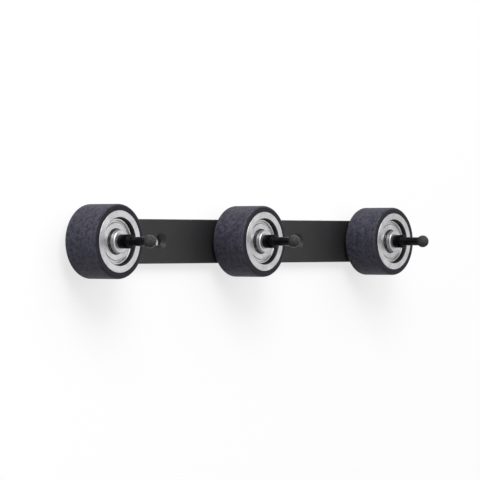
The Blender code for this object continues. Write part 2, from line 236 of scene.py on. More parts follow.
def rounded(corners, bend=4):
    """A closed outline from (radius, forward, fillet) corners, each fillet drawn as an arc."""
    outline = []
    for i, (radius, forward, fillet) in enumerate(corners):
        here = Vector((radius, forward))
        if fillet <= 0.0:
            outline.append(here)
            continue
        before = (Vector(corners[i - 1][:2]) - here).normalized()
        after = (Vector(corners[(i + 1) % len(corners)][:2]) - here).normalized()
        half = before.angle(after) / 2
        start = here + before * fillet / math.tan(half)
        end = here + after * fillet / math.tan(half)
        centre = here + (before + after).normalized() * fillet / math.sin(half)
        for step in range(bend + 1):
            outline.append(centre + fillet * (start - centre).slerp(end - centre, step / bend))
    return outline


def arc(centre, radius, start, end, steps):
    """Points of an arc in a section, both ends included."""
    turns = [start + (end - start) * i / steps for i in range(steps + 1)]
    return [(centre[0] + radius * math.cos(t), centre[1] + radius * math.sin(t)) for t in turns]


def turned(section, steps, place, closed=True, bm=None):
    """Turns a section about its own axis and puts it in place. An open section makes a solid."""
    bm = bm or bmesh.new()
    known = len(bm.verts)
    verts = [bm.verts.new((radius, -forward, 0.0)) for radius, forward in section]
    pairs = list(zip(verts, verts[1:]))
    if closed:
        pairs.append((verts[-1], verts[0]))
    edges = [bm.edges.new(pair) for pair in pairs]
    bmesh.ops.spin(bm, geom=verts + edges, cent=(0, 0, 0), axis=(0, 1, 0), angle=2 * math.pi,
                   steps=steps, use_merge=True)
    bm.verts.ensure_lookup_table()
    bmesh.ops.remove_doubles(bm, verts=bm.verts[known:], dist=1e-7)
    bm.verts.ensure_lookup_table()
    bmesh.ops.transform(bm, matrix=place, verts=bm.verts[known:])
    return bm


def on_axis(side):
    """Matrix that puts a turned shape on a roller's axis."""
    return Matrix.Translation((station(side), 0.0, 0.0))


def bearing_place(side, end):
    """Matrix of a bearing's centre; a rear bearing is turned back to front."""
    rear, front = reach(f"{side}_{end}_outer_race")
    move = Matrix.Translation((station(side), -(rear + front) / 2, 0.0))
    if end == "rear":
        return move @ Matrix.Rotation(math.pi, 4, "Z")
    return move


def finish_piece(bm, name, material, body, nodes=(), sharp=math.radians(38)):
    """Makes a bmesh a finished piece that rides on a body and stands for the named CAD nodes."""
    bmesh.ops.recalc_face_normals(bm, faces=bm.faces)
    mesh = bpy.data.meshes.new(name)
    bm.to_mesh(mesh)
    bm.free()
    mesh.shade_smooth()
    mesh.set_sharp_from_angle(angle=sharp)
    mesh.materials.append(material)
    piece = bpy.data.objects.new(name, mesh)
    bpy.context.scene.collection.objects.link(piece)
    piece.modifiers.new("even shading", "WEIGHTED_NORMAL").keep_sharp = True
    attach(piece, body)
    if nodes:
        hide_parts(*nodes)


def rollers():
    """Side, name and matrix of each roller."""
    return [(side, side, on_axis(side)) for side in SIDES]


def bearings():
    """Side, name and matrix of each bearing."""
    return [(side, f"{side}_{end}", bearing_place(side, end)) for side in SIDES for end in ENDS]


def turn_pieces(places, *pieces, bend=4):
    """Turns (part, name, corners, body) pieces at each place, where they stand for that CAD part."""
    steps = bpy.context.scene.rack_sizes.turn_steps
    for side, prefix, matrix in places:
        for part, name, corners, body in pieces:
            bm = turned(rounded(corners, bend), steps, matrix)
            rides_on = body if body == "root" else f"{side}_{body}"
            finish_piece(bm, f"{prefix}_{name}", look(part), rides_on, [f"{prefix}_{part}"])


# Materials


class Graph:
    """A node tree, built from small steps."""

    def __init__(self, tree):
        self.tree = tree

    def node(self, kind, **settings):
        made = self.tree.nodes.new(f"ShaderNode{kind}")
        for key, value in settings.items():
            setattr(made, key, value)
        return made

    def feed(self, socket, value):
        """Links an output to a socket, or writes a number or a colour on it."""
        if isinstance(value, bpy.types.NodeSocket):
            self.tree.links.new(value, socket)
        elif isinstance(value, tuple):
            socket.default_value = (*value, 1.0)
        else:
            socket.default_value = value

    def add(self, kind, inputs, output=0, **settings):
        """Adds a node, feeds its inputs and returns one of its outputs."""
        made = self.node(kind, **settings)
        for key, value in inputs.items():
            self.feed(made.inputs[key], value)
        return made.outputs[output]

    def math(self, operation, *values):
        return self.add("Math", dict(enumerate(values)), operation=operation)

    def times(self, first, second):
        return self.math("MULTIPLY", first, second)

    def plus(self, first, second):
        return self.math("ADD", first, second)

    def ranged(self, value, low, high, to_low=0.0, to_high=1.0):
        """A smooth step from one number to another while a value goes from low to high."""
        inputs = {"Value": value, "From Min": low, "From Max": high, "To Min": to_low, "To Max": to_high}
        return self.add("MapRange", inputs, "Result", interpolation_type="SMOOTHSTEP")

    def split(self, vector):
        """X, Y and Z of a vector."""
        made = self.node("SeparateXYZ")
        self.feed(made.inputs[0], vector)
        return tuple(made.outputs)

    def length(self, across, up):
        """Length of the arrow that goes so far across and so far up."""
        return self.math("SQRT", self.plus(self.times(across, across), self.times(up, up)))

    def seen(self):
        """1 on a ray that shows the background to the camera, directly or in metal or glass."""
        path = self.node("LightPath").outputs
        shown = self.math("MAXIMUM", path["Is Camera Ray"], path["Is Glossy Ray"])
        return self.math("MAXIMUM", shown, path["Is Transmission Ray"])

    def off_rail(self, position):
        """Distance from the line through the rail's outer roller axes, seen square to the wall."""
        x, y, z = self.split(position)
        beyond = self.math("MAXIMUM", self.math("SUBTRACT", self.math("ABSOLUTE", x), PITCH), 0.0)
        return self.length(beyond, z)


class Finish(Graph):
    """A material on a Principled shader."""

    def __init__(self, name, base, metallic):
        self.material = bpy.data.materials.new(name)
        self.material.use_nodes = True
        self.material.diffuse_color = (*base, 1.0)
        super().__init__(self.material.node_tree)
        self.shader = self.tree.nodes["Principled BSDF"]
        self.shader.inputs["Metallic"].default_value = metallic
        self.position = self.node("TexCoord").outputs["Object"]

    def noise(self, scale, vector=None, detail=2.0, rough=0.5):
        """Noise with so many waves to the metre."""
        inputs = {"Vector": self.position if vector is None else vector, "Scale": scale,
                  "Detail": detail, "Roughness": rough}
        return self.add("TexNoise", inputs, "Fac")

    def blend(self, amount, first, second):
        """Colour between two colours."""
        return self.add("Mix", {"Factor": amount, "A": first, "B": second}, "Result", data_type="RGBA")

    def shades(self, mask, low, high, base, first, second):
        """A colour whose tint goes from the first to the second while a mask goes from low to high."""
        return self.blend(self.ranged(mask, low, high), tint(base, first), tint(base, second))

    def scaled(self, value, amount):
        """A colour made lighter or darker by a mask."""
        return self.add("VectorMath", {0: value, "Scale": amount}, operation="SCALE")

    def radius(self):
        """Distance from the nearest roller's axis."""
        x, y, z = self.split(self.position)
        return self.length(self.math("WRAP", x, PITCH / 2, -PITCH / 2), z)

    def forward(self):
        """Distance in front of the wall."""
        return self.times(self.split(self.position)[1], -1.0)

    def ring_vector(self, waver):
        """A vector that changes along a turned section and only wavers round it."""
        wander = self.times(self.noise(90.0), waver)
        return self.add("CombineXYZ", {"X": self.radius(), "Y": self.forward(), "Z": wander})

    def bumps(self, *layers):
        """Stacks bump layers of (height, strength, distance) on the shader's normal."""
        inputs = {}
        for height, strength, distance in layers:
            inputs.update(Height=height, Strength=strength, Distance=distance)
            inputs["Normal"] = self.add("Bump", inputs, "Normal")
        self.feed(self.shader.inputs["Normal"], inputs["Normal"])

    def base(self, value):
        self.feed(self.shader.inputs["Base Color"], value)

    def roughness(self, value):
        self.feed(self.shader.inputs["Roughness"], value)

    def gloss(self, level):
        """Strength of the clear reflection on a non-metal."""
        self.shader.inputs["Specular IOR Level"].default_value = level


def tint(base, amount):
    """A colour made lighter or darker."""
    return tuple(min(1.0, channel * amount) for channel in base)


def rubber_finish(finish, base):
    """Rubber: a ground, pebbled tread with paler scuffs between smooth, blacker moulded sides."""
    outside = bpy.context.scene.rack_sizes.tyre_radius
    skin = 0.0012            # height over which the moulded side gives way to the ground tread
    tread = finish.ranged(finish.radius(), outside - skin, outside - 0.0001)
    lines = finish.noise(5200.0, finish.ring_vector(0.0004))
    grain = finish.noise(2300.0, detail=3.0, rough=0.6)
    mottle = finish.noise(520.0, detail=4.0, rough=0.6)
    pebbles = finish.noise(1150.0)
    bands = finish.noise(800.0, finish.ring_vector(0.0010))
    specks = finish.ranged(finish.noise(2600.0, rough=0.6), 0.40, 0.62, 0.86, 1.10)
    scuffs = finish.ranged(finish.noise(240.0, detail=5.0, rough=0.7), 0.52, 0.68)
    uneven = finish.plus(finish.times(mottle, 0.78), finish.times(bands, 0.22))
    aged = finish.shades(uneven, 0.36, 0.64, base, 0.56, 1.28)
    ground = finish.blend(finish.times(scuffs, 0.38), aged, tint(base, 1.9))
    moulded = finish.shades(mottle, 0.35, 0.7, base, 0.26, 0.36)
    finish.base(finish.scaled(finish.blend(tread, moulded, ground), specks))
    finish.roughness(finish.plus(finish.ranged(grain, 0.2, 0.8, 0.26, 0.36), finish.times(tread, 0.24)))
    finish.gloss(0.10)
    finish.bumps((pebbles, 0.55, 0.00022), (grain, 0.55, 0.00010), (lines, 0.35, 0.00006))


def turned_finish(finish, base):
    """Satin turned steel: rings left by the tool, cloudy wear, and painted shade in the hub's bearing
    seat and beside the spacer.
    """
    sizes = bpy.context.scene.rack_sizes
    vector = finish.ring_vector(0.0003)
    fine = finish.noise(4600.0, vector, detail=3.0, rough=0.7)
    rings = finish.noise(1100.0, vector, rough=0.6)
    clouds = finish.noise(170.0, detail=5.0, rough=0.6)
    marks = finish.ranged(finish.noise(1500.0, detail=6.0, rough=0.75), 0.62, 0.72)
    worn = finish.shades(clouds, 0.3, 0.7, base, 0.86, 1.10)
    marked = finish.blend(finish.times(marks, 0.5), worn, tint(base, 0.62))
    mouth = sizes.race_radius + sizes.hub_mouth
    radius = finish.radius()
    # Painted shade: the hub's bore, from the rib out to the mouth's chamfer, is darkened nearly to
    # black, and so is the corner beside the spacer.
    seat = finish.times(finish.ranged(radius, sizes.hub_rib - BROKEN, sizes.hub_rib),
                        finish.ranged(radius, mouth + 0.00015, mouth - 0.0001))
    painted_shade = finish.math("MAXIMUM", seat, corner_shade(finish))
    finish.base(finish.blend(painted_shade, marked, tint(base, 0.08)))
    satin = finish.plus(finish.ranged(fine, 0.25, 0.75, 0.36, 0.48),
                        finish.ranged(clouds, 0.45, 0.75, 0.0, 0.08))
    finish.roughness(finish.plus(satin, finish.times(painted_shade, 0.25)))
    finish.bumps((rings, 0.40, 0.00008), (fine, 0.60, 0.00005))


def corner_shade(finish):
    """A mask for a dark ring of painted shade, broken into patches, in the corner between the spacer's
    side and the inner race.
    """
    sizes = bpy.context.scene.rack_sizes
    half = 0.0005            # of the greasy ring's width
    middle = (sizes.shoulder + sizes.inner_land) / 2
    away = finish.math("ABSOLUTE", finish.math("SUBTRACT", finish.radius(), middle))
    low = finish.ranged(finish.forward(), BEARING_FRONT + 2 * half, BEARING_FRONT + half)
    corner = finish.times(finish.ranged(away, half, half * 0.6), low)
    patches = finish.ranged(finish.noise(500.0), 0.34, 0.60, 0.75, 1.0)
    return finish.times(corner, patches)


def ground_finish(finish, base):
    """Ground bearing steel: fine concentric lines, dull clouds, and painted shade at the rim and beside
    the spacer.
    """
    rim = bpy.context.scene.rack_sizes.race_radius
    lines = finish.noise(5200.0, finish.ring_vector(0.0002), detail=3.0, rough=0.7)
    clouds = finish.noise(210.0, detail=4.0)
    worn = finish.shades(clouds, 0.3, 0.7, base, 0.86, 1.08)
    # Painted shade: the race's outer edge, next to the hub's mouth, and the corner beside the spacer are
    # darkened.
    painted_shade = finish.math("MAXIMUM", finish.ranged(finish.radius(), rim - 0.0006, rim - 0.0002),
                        corner_shade(finish))
    finish.base(finish.blend(painted_shade, worn, tint(base, 0.12)))
    finish.roughness(finish.plus(finish.ranged(lines, 0.25, 0.75, 0.26, 0.38),
                                 finish.ranged(clouds, 0.45, 0.75, 0.0, 0.08)))
    finish.bumps((lines, 0.55, 0.000045))


def pressed_finish(finish, base):
    """Pressed sheet: satin, slightly wavy, with soft draw lines and a little painted shade at the hole.
    """
    waves = finish.noise(300.0)
    fine = finish.noise(6500.0, finish.ring_vector(0.0003))
    clean = finish.shades(waves, 0.3, 0.7, base, 0.86, 1.08)
    # Painted shade: the mask of the corner beside the spacer darkens the sheet near its hole.
    finish.base(finish.blend(corner_shade(finish), clean, tint(base, 0.12)))
    finish.roughness(finish.ranged(waves, 0.3, 0.7, 0.34, 0.46))
    finish.bumps((waves, 0.30, 0.00020), (fine, 0.45, 0.000045))


def zinc_finish(finish, base):
    """Zinc plate on turned steel: faint tool lines and a slightly warm, cloudy passivation."""
    lines = finish.noise(3600.0, finish.ring_vector(0.0002), rough=0.6)
    clouds = finish.noise(380.0, detail=4.0)
    warm = (base[0] * 1.04, base[1] * 1.02, base[2] * 0.92)
    finish.base(finish.blend(finish.ranged(clouds, 0.35, 0.65), tint(base, 0.95), warm))
    finish.roughness(finish.ranged(clouds, 0.3, 0.7, 0.24, 0.38))
    finish.bumps((lines, 0.35, 0.00005))


def mirror_finish(finish, base):
    """Polished balls with a trace of grease."""
    smear = finish.noise(700.0, detail=3.0)
    finish.base(finish.shades(smear, 0.4, 0.7, base, 1.0, 0.8))
    finish.roughness(finish.ranged(smear, 0.3, 0.7, 0.05, 0.16))


def enamel_finish(finish, base):
    """Gloss black enamel with a soft orange peel, rubbed paler on the ball, where the paler paint is
    also a painted highlight.
    """
    wear_and_highlight_grey = (0.072, 0.072, 0.072)
    rub_start = PEG_TIP - 0.0062
    rub_full = PEG_TIP - 0.0025
    peel = finish.noise(1500.0, detail=1.0)
    flecks = finish.noise(1100.0, detail=3.0)
    # Paler paint on the ball's front: wear from the straps, and also a painted highlight.
    tip = finish.ranged(finish.forward(), rub_start, rub_full)
    rubbed = finish.times(tip, finish.ranged(flecks, 0.34, 0.66, 0.6, 1.0))
    finish.base(finish.blend(finish.times(rubbed, 0.6), base, wear_and_highlight_grey))
    finish.roughness(finish.plus(finish.ranged(flecks, 0.3, 0.7, 0.15, 0.24), finish.times(rubbed, 0.2)))
    finish.gloss(0.07)
    finish.bumps((peel, 0.15, 0.00010), (flecks, 0.10, 0.00002))


def powder_finish(finish, base):
    """Black powder coat: an orange-peel skin over a fine grit, paler where its edges have rubbed."""
    pale = (0.055, 0.055, 0.058)
    peel = finish.noise(820.0)
    grit = finish.noise(5200.0, rough=0.6)
    clouds = finish.noise(45.0, detail=3.0)
    out = finish.off_rail(finish.position)
    edge = finish.ranged(out, RAIL_HIGH.z - 0.0009, RAIL_HIGH.z - 0.0001)
    wear = finish.ranged(finish.noise(130.0, detail=5.0, rough=0.6), 0.48, 0.70)
    skin = finish.shades(clouds, 0.3, 0.7, base, 0.9, 1.15)
    rubbed = finish.times(finish.times(edge, wear), 0.8)
    finish.base(finish.blend(rubbed, skin, pale))
    finish.roughness(finish.ranged(grit, 0.2, 0.8, 0.42, 0.60))
    finish.gloss(0.28)
    finish.bumps((peel, 0.30, 0.00022), (grit, 0.25, 0.00004))


# Name, metallic value and maker of each colour's finish
FINISHES = {
    "rubber": ("tyre rubber", 0.0, rubber_finish),
    "powder": ("black powder coat", 0.0, powder_finish),
    "enamel": ("gloss black enamel", 0.0, enamel_finish),
    "turned": ("turned steel", 1.0, turned_finish),
    "ground": ("ground bearing steel", 1.0, ground_finish),
    "pressed": ("pressed shield steel", 1.0, pressed_finish),
    "zinc": ("zinc-plated steel", 1.0, zinc_finish),
    "mirror": ("ball steel", 1.0, mirror_finish),
}
# Colour of each part
LOOKS = {"rail": "powder", "tyre": "rubber", "hub": "turned", "spacer": "turned", "bush": "zinc",
         "distance_ring": "zinc", "stud": "zinc", "outer_race": "ground", "inner_race": "ground",
         "shield": "pressed", "ball_cage": "pressed", "balls": "mirror", "peg": "enamel"}


def look(part):
    """The material of a part, made once."""
    key = LOOKS[part]
    known = [material for material in bpy.data.materials if material.get("finish") == key]
    if known:
        return known[0]
    name, metallic, maker = FINISHES[key]
    base = tuple(getattr(bpy.context.scene.rack_colours, key))
    finish = Finish(name, base, metallic)
    maker(finish, base)
    finish.material["finish"] = key
    return finish.material


# Pieces


def rail_shape():
    """Flat bar with half-round ends and rounded edges."""
    sizes = bpy.context.scene.rack_sizes
    radius = RAIL_HIGH.z
    thickness = -RAIL_LOW.y
    ends = arc((PITCH, 0.0), radius, -math.pi / 2, math.pi / 2, END_STEPS)
    ends += arc((-PITCH, 0.0), radius, math.pi / 2, 3 * math.pi / 2, END_STEPS)
    bm = bmesh.new()
    face = bm.faces.new([bm.verts.new((x, 0.0, z)) for x, z in ends])
    grown = bmesh.ops.extrude_face_region(bm, geom=[face])
    front = [item for item in grown["geom"] if isinstance(item, bmesh.types.BMVert)]
    bmesh.ops.translate(bm, vec=(0.0, -thickness, 0.0), verts=front)
    rims = [edge for edge in bm.edges if abs(edge.verts[0].co.y - edge.verts[1].co.y) < 1e-9]
    bmesh.ops.bevel(bm, geom=rims, offset=sizes.rail_edge, affect="EDGES", segments=4, profile=0.5,
                    material=-1)
    return bm, thickness


def cut(bm, tools):
    """Cuts closed tool shapes out of a closed bmesh."""
    scene = bpy.context.scene
    things = []
    for shape in [bm] + tools:
        bmesh.ops.recalc_face_normals(shape, faces=shape.faces)
        mesh = bpy.data.meshes.new("cut")
        shape.to_mesh(mesh)
        shape.free()
        things.append(bpy.data.objects.new("cut", mesh))
        scene.collection.objects.link(things[-1])
    blank = things[0]
    for tool in things[1:]:
        step = blank.modifiers.new(tool.name, "BOOLEAN")
        step.solver = "EXACT"
        step.operation = "DIFFERENCE"
        step.object = tool
    bpy.context.view_layer.update()
    evaluated = blank.evaluated_get(bpy.context.evaluated_depsgraph_get())
    result = bmesh.new()
    result.from_mesh(evaluated.to_mesh())
    for thing in things:
        bpy.data.objects.remove(thing, do_unlink=True)
    return result


class SKIRACK_OT_rail(bpy.types.Operator):
    """Models the rail that the studs stand on"""

    bl_idname = "ski_rack.rail"
    bl_label = "Rail"

    def execute(self, context):
        sizes = context.scene.rack_sizes
        blank, thickness = rail_shape()
        beyond = 2 * thickness
        lip = 0.00025            # rounding of the countersink's edges
        sink = thickness - (sizes.screw_sink - sizes.screw_hole)
        hole = rounded([(0.0, -thickness, 0.0), (sizes.screw_hole, -thickness, 0.0),
                        (sizes.screw_hole, sink, lip), (sizes.screw_sink, thickness, lip),
                        (sizes.screw_sink + 2 * lip, beyond, 0.0), (0.0, beyond, 0.0)])
        tools = [turned(hole, HOLE_STEPS, Matrix.Translation((x, 0.0, 0.0)), closed=False)
                 for x in (-PITCH / 2, PITCH / 2)]
        floor = STUD_FOOT - SNUG
        pocket = [(0.0, floor), (sizes.pocket, floor), (sizes.pocket, beyond), (0.0, beyond)]
        tools += [turned(pocket, HOLE_STEPS, on_axis(side), closed=False) for side in SIDES]
        finish_piece(cut(blank, tools), "rail_bar", look("rail"), "root", ["rail"],
                     math.radians(30))
        return {"FINISHED"}


def thread_blank(radius, start, end):
    """Points along a surface that is to be threaded, both ends included."""
    pitch = bpy.context.scene.rack_sizes.thread_pitch
    count = round(abs(end - start) / pitch * THREAD_ROWS)
    return [(radius, start + (end - start) * i / count) for i in range(count + 1)]


def threaded(bm, side, radius, low, high):
    """Pushes a turned surface between two depths into a helical thread of rounded vees."""
    sizes = bpy.context.scene.rack_sizes
    pitch = sizes.thread_pitch
    near = 1e-5              # how far off the radius a point may be
    x = station(side)
    for vert in bm.verts:
        forward = -vert.co.y
        out = Vector((vert.co.x - x, 0.0, vert.co.z))
        if not low <= forward <= high or abs(out.length - radius) > near:
            continue
        phase = (forward / pitch - math.atan2(out.z, out.x) / (2 * math.pi)) % 1.0
        fade = min(1.0, (forward - low) / pitch, (high - forward) / pitch)
        out.length = radius - sizes.thread_depth * fade * (0.5 - 0.5 * math.cos(2 * math.pi * phase))
        vert.co.x = x + out.x
        vert.co.z = out.z


class SKIRACK_OT_studs(bpy.types.Operator):
    """Models the threaded studs pressed into the rail"""

    bl_idname = "ski_rack.studs"
    bl_label = "Studs"

    def execute(self, context):
        sizes = context.scene.rack_sizes
        chamfer = 0.0006
        low = SPACER_FRONT - 2 * sizes.thread_pitch
        high = STUD_TIP - chamfer
        collar = STUD_FOOT + sizes.stud_head_height
        section = rounded([(0.0, STUD_FOOT, 0.0), (sizes.stud_head, STUD_FOOT, BROKEN),
                           (sizes.stud_head, collar, BROKEN), (sizes.stud_radius, collar, 0.0)])
        section += thread_blank(sizes.stud_radius, low, high)
        section += [(sizes.stud_radius - chamfer, STUD_TIP), (0.0, STUD_TIP)]
        for side in SIDES:
            bm = turned(section, STUD_STEPS, on_axis(side), closed=False)
            threaded(bm, side, sizes.stud_radius, low, high)
            finish_piece(bm, f"{side}_threaded_stud", look("stud"), "root", [f"{side}_stud"],
                         math.radians(60))
        return {"FINISHED"}


class SKIRACK_OT_bushes(bpy.types.Operator):
    """Models the bushes, distance rings and spacers that carry and clamp the inner races"""

    bl_idname = "ski_rack.bushes"
    bl_label = "Bushes and spacers"

    def execute(self, context):
        sizes = context.scene.rack_sizes
        hole = sizes.bush_bore
        wide = sizes.shoulder
        sleeve = sizes.bore - SNUG
        heel = BUSH_SHOULDER - SNUG
        seat = BUSH_FRONT + SNUG
        lead = 0.0005            # rounding of the sleeve's end, which leads it into the races
        chamfer = sizes.spacer_edge
        soft = 0.00015           # rounding of that chamfer's edges
        bush = [(hole, BUSH_REAR, BROKEN), (wide, BUSH_REAR, ROUNDED), (wide, heel, ROUNDED),
                (sleeve, heel, 0.0), (sleeve, BUSH_FRONT, lead), (hole, BUSH_FRONT, ROUNDED)]
        ring = [(sizes.bore, RIB_REAR, BROKEN), (wide, RIB_REAR, BROKEN),
                (wide, RIB_FRONT, BROKEN), (sizes.bore, RIB_FRONT, BROKEN)]
        spacer = [(hole, seat, BROKEN), (wide, seat, BROKEN), (wide, SPACER_FRONT - chamfer, soft),
                  (wide - chamfer, SPACER_FRONT, soft), (hole, SPACER_FRONT, BROKEN)]
        turn_pieces(rollers(), ("bush", "turned_bush", bush, "root"),
                    ("distance_ring", "turned_ring", ring, "root"),
                    ("spacer", "turned_spacer", spacer, "root"))
        return {"FINISHED"}


class SKIRACK_OT_hubs(bpy.types.Operator):
    """Models the metal rollers that hold the bearings"""

    bl_idname = "ski_rack.hubs"
    bl_label = "Hubs"

    def execute(self, context):
        sizes = context.scene.rack_sizes
        seat = sizes.race_radius + SNUG
        mouth = seat + sizes.hub_mouth
        soft = 0.00012           # rounding of the mouth's chamfer
        front = [(sizes.hub_radius, ROLLER_FRONT, ROUNDED), (mouth, ROLLER_FRONT, soft),
                 (seat, ROLLER_FRONT - sizes.hub_mouth, soft), (seat, RIB_FRONT, CRISP),
                 (sizes.hub_rib, RIB_FRONT, BROKEN)]
        both = ROLLER_FRONT + ROLLER_REAR        # less a depth: its mirror image
        back = [(radius, both - forward, fillet) for radius, forward, fillet in reversed(front)]
        turn_pieces(rollers(), ("hub", "turned_hub", front + back, "roller"))
        return {"FINISHED"}


def raceway(sizes, bottom, land, outward):
    """Ball groove of a race, from the bearing's inner side to its shield side."""
    radius = abs(bottom - sizes.ball_circle)
    half = math.acos((radius - abs(bottom - land)) / radius)
    middle = 0.0 if outward else math.pi
    turn = half if outward else -half
    groove = arc((sizes.ball_circle, 0.0), radius, middle - turn, middle + turn, GROOVE_STEPS)
    return [(*point, 0.0) for point in groove]


class SKIRACK_OT_races(bpy.types.Operator):
    """Models the outer and inner races of the bearings"""

    bl_idname = "ski_rack.races"
    bl_label = "Bearing races"

    def execute(self, context):
        sizes = context.scene.rack_sizes
        half = BEARING_WIDTH / 2
        seat_floor = half - (BEARING_FRONT - SHIELD_FLOOR) - SNUG
        outer = [(sizes.race_radius, -half, RACE_EDGE), (sizes.outer_land, -half, BROKEN)]
        outer += raceway(sizes, sizes.outer_raceway, sizes.outer_land, True)
        outer += [(sizes.outer_land, seat_floor, 0.0), (sizes.shield_seat, seat_floor, 0.0),
                  (sizes.shield_seat, half, BROKEN), (sizes.race_radius, half, RACE_EDGE)]
        inner = [(sizes.inner_land, -half, ROUNDED)]
        inner += raceway(sizes, sizes.inner_raceway, sizes.inner_land, False)
        inner += [(sizes.inner_land, half, ROUNDED), (sizes.bore, half, RACE_EDGE),
                  (sizes.bore, -half, RACE_EDGE)]
        turn_pieces(bearings(), ("outer_race", "ground_outer_race", outer, "roller"),
                    ("inner_race", "ground_inner_race", inner, "root"))
        return {"FINISHED"}


class SKIRACK_OT_shields(bpy.types.Operator):
    """Models the dished shields that close the bearings"""

    bl_idname = "ski_rack.shields"
    bl_label = "Bearing shields"

    def execute(self, context):
        sizes = context.scene.rack_sizes
        half = BEARING_WIDTH / 2
        sheet = sizes.shield_sheet
        flat = half - (BEARING_FRONT - SHIELD_FLAT)
        trough = half - (BEARING_FRONT - SHIELD_FLOOR) + sheet
        front = [(sizes.shield_rim, trough, CRISP), (sizes.shield_slope, trough, CRISP),
                 (sizes.shield_brow, flat, ROUNDED), (sizes.shield_eye, flat, BROKEN)]
        back = [(radius, forward - sheet, CRISP) for radius, forward, fillet in reversed(front)]
        turn_pieces(bearings(), ("shield", "pressed_shield", front + back, "roller"))
        return {"FINISHED"}


def ribbon_half(bm, sizes, sign):
    """Adds half of a ball cage: a thin turned ring, flat between the balls and cupped round each."""
    known = len(bm.verts)
    inner = sizes.ball_circle - sizes.cage_width / 2
    outer = sizes.ball_circle + sizes.cage_width / 2
    thick = sizes.cage_sheet
    cup = sizes.ball_radius + SNUG
    spacing = 2 * math.pi / sizes.ball_count
    section = [(inner, SNUG), (outer, SNUG), (outer, thick), (inner, thick)]
    turned(section, sizes.ball_count * CUP_STEPS, Matrix.Identity(4), bm=bm)
    for vert in bm.verts[known:]:
        along = math.atan2(vert.co.z, vert.co.x) % spacing
        offset = min(along, spacing - along) * sizes.ball_circle
        depth = -vert.co.y
        shell = cup + (thick if depth > thick / 2 else 0.0)
        vert.co.y = -sign * max(depth, math.sqrt(max(shell * shell - offset * offset, 0.0)))


def rivet(bm, sizes, angle):
    """Adds a rivet through both halves of the cage."""
    head = 0.00065
    flat = head * 0.7
    shank = 0.0003
    top = sizes.cage_sheet + SNUG
    crown = top + 0.00025
    brow = crown - 0.00006
    section = [(0.0, -crown), (flat, -brow), (head, -top), (shank, -top),
               (shank, top), (head, top), (flat, brow), (0.0, crown)]
    place = Matrix.Rotation(-angle, 4, "Y") @ Matrix.Translation((sizes.ball_circle, 0.0, 0.0))
    turned(section, RIVET_STEPS, place, closed=False, bm=bm)


class SKIRACK_OT_balls(bpy.types.Operator):
    """Models the balls and the riveted cages that space them"""

    bl_idname = "ski_rack.balls"
    bl_label = "Balls and cages"

    def execute(self, context):
        sizes = context.scene.rack_sizes
        spacing = 2 * math.pi / sizes.ball_count
        outward = Matrix.Translation((sizes.ball_circle, 0.0, 0.0))
        for side, prefix, place in bearings():
            cage = bmesh.new()
            ribbon_half(cage, sizes, 1.0)
            ribbon_half(cage, sizes, -1.0)
            balls = bmesh.new()
            for ball in range(sizes.ball_count):
                rivet(cage, sizes, (ball + 0.5) * spacing)
                spoke = Matrix.Rotation(-ball * spacing, 4, "Y")
                bmesh.ops.create_uvsphere(balls, u_segments=BALL_SEGMENTS, v_segments=BALL_RINGS,
                                          radius=sizes.ball_radius, matrix=place @ spoke @ outward)
            bmesh.ops.transform(cage, matrix=place, verts=cage.verts)
            finish_piece(cage, f"{prefix}_riveted_cage", look("ball_cage"), f"{side}_balls",
                         [f"{prefix}_ball_cage"])
            finish_piece(balls, f"{prefix}_balls", look("balls"), f"{side}_balls")
        return {"FINISHED"}


class SKIRACK_OT_tyres(bpy.types.Operator):
    """Models the rubber tyres"""

    bl_idname = "ski_rack.tyres"
    bl_label = "Tyres"

    def execute(self, context):
        sizes = context.scene.rack_sizes
        bore = sizes.hub_radius + SNUG
        outside = sizes.tyre_radius
        shoulder = sizes.tyre_shoulder
        tyre = [(bore, ROLLER_FRONT, sizes.tyre_lip), (bore, ROLLER_REAR, sizes.tyre_lip),
                (outside, ROLLER_REAR, shoulder), (outside, ROLLER_FRONT, shoulder)]
        turn_pieces(rollers(), ("tyre", "rubber_tyre", tyre, "roller"), bend=8)
        return {"FINISHED"}


class SKIRACK_OT_pegs(bpy.types.Operator):
    """Models the ball-headed pegs"""

    bl_idname = "ski_rack.pegs"
    bl_label = "Pegs"

    def execute(self, context):
        sizes = context.scene.rack_sizes
        pin = sizes.peg_pin
        seat = SPACER_FRONT + SNUG
        floor = STUD_TIP + sizes.peg_spare
        collar_front = floor + sizes.peg_web
        rim = 0.0004             # rounding of the collar's front edge
        bend = 8                 # facets along the throat
        flare = 0.0003           # how much wider than the pin the ball's neck is
        flare_steps = ((0.0008, 0.0), (0.0003, 0.00008))     # on the way: (before the neck, wider)
        section = [(0.0, floor)]
        section += thread_blank(sizes.peg_bore, floor, seat)[:-1]
        section += rounded([(sizes.peg_bore, seat, 0.0), (sizes.peg_collar, seat, ROUNDED),
                            (sizes.peg_collar, collar_front, rim), (pin, collar_front, 0.0)],
                           bend=6)[:-1]
        throat = sizes.peg_collar - 2 * rim - pin
        for i in range(1, bend + 1):
            turn = math.pi / 2 * i / bend
            section.append((pin + throat * (1 - math.sin(turn)),
                            collar_front + sizes.peg_throat * (1 - math.cos(turn))))
        centre = PEG_TIP - sizes.peg_ball
        neck = math.asin((pin + flare) / sizes.peg_ball)
        start = centre - sizes.peg_ball * math.cos(neck)
        section += [(pin + wider, start - before) for before, wider in flare_steps]
        section += arc((0.0, centre), sizes.peg_ball, neck - math.pi / 2, math.pi / 2, HEAD_STEPS)[:-1]
        section.append((0.0, PEG_TIP))
        for side in SIDES:
            bm = turned(section, PEG_STEPS, on_axis(side), closed=False)
            threaded(bm, side, sizes.peg_bore, seat, floor)
            finish_piece(bm, f"{side}_enamelled_peg", look("peg"), "root", [f"{side}_peg"])
        return {"FINISHED"}


# Stage


